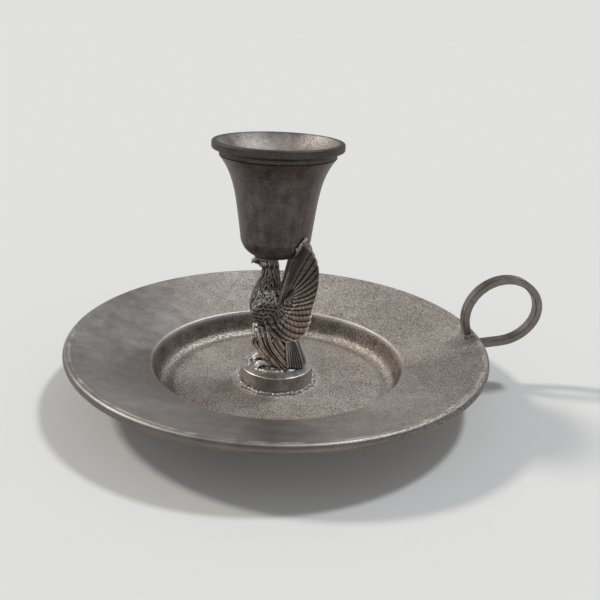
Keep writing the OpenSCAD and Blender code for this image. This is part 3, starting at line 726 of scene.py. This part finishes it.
def add_head(shape):
    """Skull, beak with its hook, eyes, brows and the corners of the mouth."""
    shape.ball((-5.4, 0, up(39.4)), (3.0, 2.5, 2.3), 10, 16)
    shape.rings([
        [(x, half * c, up((low + high) / 2 + (high - low) / 2 * s)) for c, s in circle(12, -1)]
        for x, low, high, half in BEAK])
    for side in (-1, 1):
        shape.ball((-7.0, side * 1.85, up(40.0)), (0.5, 0.38, 0.45), 6, 8)
        shape.blade(
            lambda t: (lay(-8.6, -4.6, t), side * lay(1.25, 2.4, t), up(lay(40.95, 40.6, t))),
            lambda t: (0, side, 0.6), 0.42, thick=0.7, crown=0.3, shaft=0.12, tip=0.8, steps=6)
        shape.blade(
            lambda t: (lay(-9.4, -6.2, t), side * lay(0.95, 2.05, t), up(lay(39.2, 38.7, t))),
            lambda t: (0, side, -0.2), 0.22, thick=0.5, crown=0.2, shaft=0.12, tip=0.8, steps=6)


def add_toe(shape, ankle, tip):
    """One knuckled toe and its claw, on the plinth."""
    ahead = unit(tip - ankle)
    across = np.array([-ahead[1], ahead[0], 0])
    upward = np.array([0, 0, 1])
    line = curve([(*ankle, 1.3), (*lay(ankle, tip, 0.35), 1.9), (*lay(ankle, tip, 0.7), 1.5), (*tip, 0.5)])
    rings = []
    for i in range(13):
        t = i / 12
        x, y, h = line(t)
        r = lay(1.15, 0.62, t) * (1 + 0.22 * math.sin(7.5 * t + 0.6))
        flat = min(r, 0.7 * h + 0.02)
        centre = np.array([x, y, PLINTH_TOP + h * 0.7])
        rings.append([centre + across * r * c + upward * flat * s for c, s in circle(10)])
    shape.rings(rings)
    line = curve([(*tip, 0.9), (*(tip + 0.6 * ahead), 0.95), (*(tip + 1.1 * ahead), 0.15)])
    rings = []
    for t in (0.0, 0.33, 0.66, 1.0):
        x, y, h = line(t)
        r = 0.5 * (1 - 0.8 * t)
        rings.append([(x + r * c, y + r * s, PLINTH_TOP + h) for c, s in circle(8)])
    shape.rings(rings)


def add_feet(shape, rng):
    for side, reach in ((-1, -8.6), (1, -10.2)):
        shape.ball((-2.9, side * 3.3, up(3.0)), (1.6, 1.4, 3.4), 8, 10)
        for spread in (-1.9, 0.0, 1.9):
            tip = np.array([reach + 0.35 * abs(spread), side * 3.2 + spread])
            add_toe(shape, np.array([-3.2, side * 3.2]), tip)
    # rough ground of the casting between and round the feet
    for _ in range(GROUND_LUMPS):
        a, r = rng.uniform(0, 2 * math.pi), 9.4 * math.sqrt(rng.uniform(0, 1))
        x, y = -0.8 + 1.05 * r * math.cos(a), 0.84 * r * math.sin(a)
        size = rng.uniform(0.4, 1.15)
        shape.ball((x, y, PLINTH_TOP + 0.05), (size, size, 0.55 * size), 6, 8)


def build_eagle(material):
    rng = random.Random(5)
    shape = Shape()
    angles = [2 * math.pi * k / CORE_SIDES for k in range(CORE_SIDES)]
    heights = [CORE_HEIGHT * i / CORE_STEPS for i in range(CORE_STEPS + 1)]
    shape.rings([[trunk_at(a, h, -CORE_INSET) for a in angles] for h in heights])
    # close plumes on the neck and broader ones on the breast
    add_tufts(shape, rng, 260, 29.0, 40.0, 2.7, 0.34, 0.08)
    add_tufts(shape, rng, 150, 16.0, 30.0, 2.6, 0.62, 0.05)
    for side in (-1, 1):
        add_thigh(shape, side, rng)
    add_tail(shape)
    add_head(shape)
    add_feet(shape, rng)
    eagle = shape.make("eagle")
    cast(eagle, EAGLE_CELL, KEPT)
    mark_ridges(eagle, 0.13)
    # pale crust at the feet, painted light reflected from the pan below the breast, and cooler on the tail
    mark(eagle, "worn", lambda p: (
        0.9 * fade(p[:, 2], PLINTH_TOP + 4.0, PLINTH_TOP + 1.2) * fade(p[:, 0], 5.5, 2.5)))
    mark(eagle, "painted_pan_light", lambda p: 0.75 * fade(p[:, 2], 30.0, 21.0) * fade(p[:, 0], 5.5, 3.5))
    mark(eagle, "cool", lambda p: fade(p[:, 0], 3.4, 4.6) * fade(p[:, 2], 25.0, 21.0))
    dress(eagle, material, "eagle_body")


# ---- wings ----
FEATHERS = 17
# valley between two feathers, counted from the lowest: root x and z, middle x and z, tip x and z, and the
# tip's distance from the middle plane
WING = [
    (0, -4.9, 25.1, -1.9, 21.4, 2.4, 18.6, 5.6), (2, -0.6, 25.4, 3.3, 21.8, 8.2, 20.8, 6.0),
    (4, 1.6, 28.0, 6.2, 25.6, 11.1, 26.2, 6.4), (6, 3.2, 30.6, 7.5, 30.0, 11.8, 31.1, 6.8),
    (8, 5.0, 33.2, 9.4, 34.3, 12.6, 36.0, 7.2), (10, 5.4, 36.0, 10.2, 38.0, 13.4, 41.3, 7.6),
    (12, 5.6, 38.4, 10.5, 42.6, 13.4, 47.0, 8.2), (14, 5.2, 40.4, 9.0, 46.4, 11.9, 52.5, 8.7),
    (16, 2.6, 39.8, 5.2, 48.4, 9.0, 57.0, 9.0), (FEATHERS, -0.1, 36.5, 2.2, 46.0, 6.4, 58.2, 9.0)]
WING_INNER = 4.8
HIDDEN_ROOT = 0.32
FAR_WING_FOLD = 1.5
# columns of points across one feather, and rows along it
FEATHER_COLUMNS, FEATHER_ROWS = 13, 90
# rows of coverts: how many over the fan, how far along the feathers they reach, height, shift across
COVERTS = [(14, 0.12, 0.30, 0.35), (11, -0.06, 0.34, 0.6)]
# coverts that hang in ragged scallops over the side of the breast: middle, half sizes, one row, one scallop
LOBE_X, LOBE_Z = -4.4, 29.4
LOBE_HALF_X, LOBE_HALF_Z = 5.6, 4.6
LOBE_ROW, LOBE_SCALLOP = 1.45, 1.75
LOBE_INNER, LOBE_FACE, LOBE_CROWN = 3.0, 3.9, 1.35
LOBE_STEPS = 72
# outside of the cup: corner's radius, radius where the corner starts and ends, taper, flare and its power
CUP_CORNER, CUP_FLAT, CUP_WAIST = 7.6, 4.9, 12.5
CUP_TAPER, CUP_FLARE, CUP_POWER = 3.4, 4.0, 4.6
CUP_PLAY = 0.2


def cup_radius(z):
    """Outer radius of the cup at height z."""
    h = z - CUP_BASE
    if h <= 0:
        return 0.0
    if h < CUP_CORNER:
        return CUP_FLAT + math.sqrt(max(0.0, CUP_CORNER**2 - (CUP_CORNER - h) ** 2))
    t = (h - CUP_CORNER) / (CUP_HIGH[2] - CUP_BASE - CUP_CORNER)
    return CUP_WAIST + CUP_TAPER * t + CUP_FLARE * t**CUP_POWER


def hug(x, z):
    """Distance of the cup's wall from the middle plane, with play."""
    if z <= CUP_BASE:
        return 0.0
    return math.sqrt(max(0.0, (cup_radius(z) + CUP_PLAY) ** 2 - (x - CUP_X) ** 2))


def feather_profile(w):
    """Height across one feather: crowned, with one edge proud of the next."""
    k = 2 * w - 1
    return 0.80 * (1 - abs(k) ** 2.4) + 0.28 * (1 - w)


def fan_thickness(u, v, s, ripple):
    """Thickness of the fan at feather u, row v and share s of the feather's length."""
    w = u % 1.0
    bump = ripple[int(u)]
    # the last feathers run flat into the leading edge
    calm = 1 - 0.9 * smooth((u - 14.6) / 1.2)
    thick = lay(0.1, 1.1, smooth(v / 0.3)) - 0.45 * smooth((v - 0.3) / 0.7)
    thick += (0.54 + 0.12 * bump) * calm * feather_profile(w) * smooth((s + 0.15) / 0.15)
    if calm > 0.5:
        thick += 0.022 * math.sin(40 * s + 6 * w + bump)
    for count, reach, height, shift in COVERTS:
        place = u * count / FEATHERS + shift
        w = place % 1.0
        cut = reach + 0.05 * ripple[20 + int(place)] - 0.05 * (2 * w - 1) ** 2
        shown = 1 - smooth((u - 8.5) / 4)
        thick += height * smooth((cut - s) / 0.03) * (0.4 + 0.7 * feather_profile(w)) * shown
    # smooth arm of the wing along the leading edge
    thick += 0.5 * smooth((u - 14.2) / 1.6) * (1 - 0.6 * v) * smooth(v / 0.2)
    return thick


def add_fan(shape, fold, ripple):
    """The flight feathers, whose tips are folded in by a number of millimetres."""
    across = FEATHERS * FEATHER_COLUMNS
    rings = []
    for i in range(across + 1):
        u = FEATHERS * min(max(i / across, 0.0005), 0.9995)
        root, middle, tip = (np.array([along(WING, u, c), along(WING, u, c + 1)]) for c in (1, 3, 5))
        tip[0] -= fold * smooth((u - 9) / 5)
        control = 2 * middle - (root + tip) / 2
        spread = along(WING, u, 7) - WING_INNER - 0.6
        rounding = 0.5 / np.linalg.norm(tip - root) * (2 * (u % 1.0) - 1) ** 2
        inner, outer = [], []
        for j in range(FEATHER_ROWS + 1):
            v = j / FEATHER_ROWS
            s = lay(-HIDDEN_ROOT, 1 - rounding, v)
            x, z = root * (1 - s) ** 2 + 2 * control * s * (1 - s) + tip * s * s
            h = (z - PLINTH_TOP) / STRETCH
            beside_thigh = thigh_side(x, h) + 0.5 if h < THIGH_TOP else 0.0
            y = max(WING_INNER + spread * max(s, 0.0) ** 1.6, hug(x, z), beside_thigh)
            edge = min(smooth((1 - v) / 0.03), smooth(u / 0.2), smooth((FEATHERS - u) / 0.25))
            inner.append((x, y, z))
            outer.append((x, y + max(fan_thickness(u, v, s, ripple), 0.1) * lay(0.4, 1.0, edge), z))
        rings.append(inner + outer[::-1])
    shape.rings(rings)


def lobe_relief(x, z, ripple):
    """Height of the scalloped rows, proud along their lower edges."""
    q = (LOBE_Z + LOBE_HALF_Z - z) / LOBE_ROW
    q += 0.14 * math.sin(0.9 * x + 0.8 * z) + 0.06 * math.sin(2.3 * x - 1.1 * z)
    row = int(math.floor(q))
    across = (x / LOBE_SCALLOP + 0.5 * (row % 2) + 0.35 * ripple[40 + row % 16]) % 1.0
    fall = q - row + (0.30 + 0.08 * ripple[8 + row % 16]) * (2 * across - 1) ** 2
    high = 0.46 + 0.14 * math.sin(1.7 * x + 2.9 * row)
    return high * min(fall, 1.0) ** 1.3 * smooth((1.14 - fall) / 0.2)


def add_lobe(shape, ripple):
    rings = []
    for i in range(LOBE_STEPS + 1):
        a = 2 * i / LOBE_STEPS - 1
        inner, outer = [], []
        for j in range(LOBE_STEPS + 1):
            b = 2 * j / LOBE_STEPS - 1
            x = LOBE_X + LOBE_HALF_X * a * math.sqrt(1 - b * b / 2)
            z = LOBE_Z + LOBE_HALF_Z * b * math.sqrt(1 - a * a / 2)
            dome = math.sqrt(max(0.0, 1 - (a * a + b * b - a * a * b * b)))
            relief = lobe_relief(x, z, ripple) * smooth(dome / 0.35)
            inner.append((x, LOBE_INNER, z))
            outer.append((x, LOBE_FACE + LOBE_CROWN * dome + relief, z))
        rings.append(inner + outer[::-1])
    shape.rings(rings)


def build_wing(material, name, fold, mirror):
    rng = random.Random(11)
    ripple = [rng.uniform(-1, 1) for _ in range(64)]
    shape = Shape()
    add_fan(shape, fold, ripple)
    add_lobe(shape, ripple)
    wing = shape.make(name, mirror)
    cast(wing, FINE_CELL, KEPT)
    mark_ridges(wing, 0.12)
    # painted light reflected from the pan: a little over the whole wing, most low down and towards the back
    mark(wing, "painted_pan_light", lambda p: fade(p[:, 2], 46.0, 26.0) * fade(p[:, 0], -2.0, 5.0) * 0.9 + 0.12)
    dress(wing, material, name)


# ---- solder ----
PLINTH_BEADS, PATCH_BEADS, RUN_BEADS = 170, 95, 26


def add_solder(name, places, material, node):
    """A ragged bead of solder: overlapping balls melted together and roughened."""
    shape = Shape()
    for centre, radii in places:
        shape.ball(centre, radii, 6, 8)
    bead = shape.make(name)
    cast(bead, FINE_CELL)
    dress(bead, material, node)


def plinth_ring(rng):
    """Balls round the foot of the plinth."""
    for k in range(PLINTH_BEADS):
        a = 2 * math.pi * (k + rng.uniform(-0.4, 0.4)) / PLINTH_BEADS
        r = PLINTH_R + rng.uniform(0.0, 1.1)
        size = rng.uniform(0.35, 0.8)
        z = WELL_FLOOR + 0.2 + rng.uniform(0, 0.25)
        yield (PLINTH_X + r * math.cos(a), r * math.sin(a), z), (size * 1.3, size * 1.3, size)


def shoulder_patch(rng, side):
    """Balls of a crumbly patch on the shoulder."""
    for _ in range(PATCH_BEADS):
        x, z = rng.uniform(-8.6, 0.3), 33.2 + 4.6 * rng.random() ** 1.4
        size = rng.uniform(0.25, 0.6)
        y = trunk_side(min(max(x, -8.0), 0.0), (z - PLINTH_TOP) / STRETCH)
        yield (x, side * (y + 0.15), z), (size * 1.1, 0.5 * size + 0.1, size)


def wing_run(rng, side):
    """Balls of a small run where the wing meets the cup."""
    for _ in range(RUN_BEADS):
        t = rng.random()
        x, z = lay(5.3, 8.2, t) + rng.uniform(-0.5, 0.3), lay(55.0, 58.6, t) + rng.uniform(-0.3, 0.4)
        x -= FAR_WING_FOLD * 0.8 * max(side, 0)
        size = rng.uniform(0.25, 0.55)
        yield (x, side * (hug(x, z) + 0.35), z), (size, size, size)


def build_solder(material):
    rng = random.Random(3)
    add_solder("plinth_bead", plinth_ring(rng), material, "plinth_solder")
    for side, name in ((-1, "left"), (1, "right")):
        add_solder(name + "_shoulder_bead", shoulder_patch(rng, side), material, name + "_shoulder_solder")
        add_solder(name + "_wing_bead", wing_run(rng, side), material, name + "_wing_solder")


# ---- floor and light ----
FLOOR_COLOUR = (0.79, 0.79, 0.785)
FLOOR_SIZE = 30.0
HORIZON = tuple(v * 0.94 for v in FLOOR_COLOUR)
OVERHEAD = (0.29, 0.295, 0.30)
SUN_SPREAD = math.radians(8.0)


def add_stage():
    bpy.ops.mesh.primitive_plane_add(size=FLOOR_SIZE, location=(0, 0, 0))
    floor = bpy.context.object
    floor.name = "floor"
    n = Nodes(bpy.data.materials.new("floor"))
    shader = n.add("ShaderNodeBsdfDiffuse")
    shader.inputs["Color"].default_value = (*FLOOR_COLOUR, 1)
    floor.data.materials.append(n.show(shader))


def add_sun(name, towards, strength, colour):
    """A soft distant lamp that stands in the direction towards."""
    data = bpy.data.lights.new(name, "SUN")
    data.energy = strength
    data.color = colour
    data.angle = SUN_SPREAD
    light = bpy.data.objects.new(name, data)
    light.rotation_euler = Vector([-v for v in towards]).to_track_quat("-Z", "Y").to_euler()
    bpy.context.collection.objects.link(light)


def add_world():
    """A pale room: as bright as the floor at the horizon and dimmer overhead."""
    world = bpy.data.worlds.new("world")
    bpy.context.scene.world = world
    n = Nodes(world)
    height = n.split(n.read("ShaderNodeTexCoord", "Generated"))[2]
    background = n.add("ShaderNodeBackground")
    n.put(background.inputs["Color"], n.colours(height, [(0.10, HORIZON), (0.45, OVERHEAD)]))
    n.show(background, "ShaderNodeOutputWorld")


def paint(node, material):
    """Gives a node of the frame a better material."""
    mesh = NODES[node].data
    mesh.materials.clear()
    mesh.materials.append(material)


add_camera()
add_world()
add_stage()
add_sun("cool_sun", (8, 5, 18), 1.20, (0.94, 0.98, 1.0))
add_sun("warm_sun", (-18, 6, 18), 1.38, (1.0, 0.95, 0.88))
bpy.context.scene.view_settings.view_transform = "Standard"

eagle_pewter = eagle_material()
solder = solder_material()
paint("drip_pan", pan_material())
paint("candle_cup", turned_material(
    "cup_pewter", CUP_X, CUP_TONES, rough=(0.36, 0.50), pit=0.06, bump_mm=0.08, streaks=0.18))
paint("drip_collar", turned_material(
    "collar_pewter", CUP_X, COLLAR_TONES, rough=(0.46, 0.60), pit=0.18, bump_mm=0.14, streaks=0.12,
    painted_shade_beyond=COLLAR_R - COLLAR_RIM))
paint("plinth", turned_material(
    "plinth_pewter", PLINTH_X, PLINTH_TONES, rough=(0.34, 0.46), pit=0.06, bump_mm=0.06, streaks=0.15,
    pale_above=PLINTH_TOP))
paint("finger_loop", turned_material(
    "loop_pewter", 0.0, LOOP_TONES, rough=(0.32, 0.46), pit=0.08, bump_mm=0.06, streaks=0.10))
for node in ("head_solder", "loop_upper_solder", "loop_lower_solder"):
    paint(node, solder)

build_eagle(eagle_pewter)
build_wing(eagle_pewter, "right_wing", FAR_WING_FOLD, mirror=False)
build_wing(eagle_pewter, "left_wing", 0.0, mirror=True)
build_solder(solder)
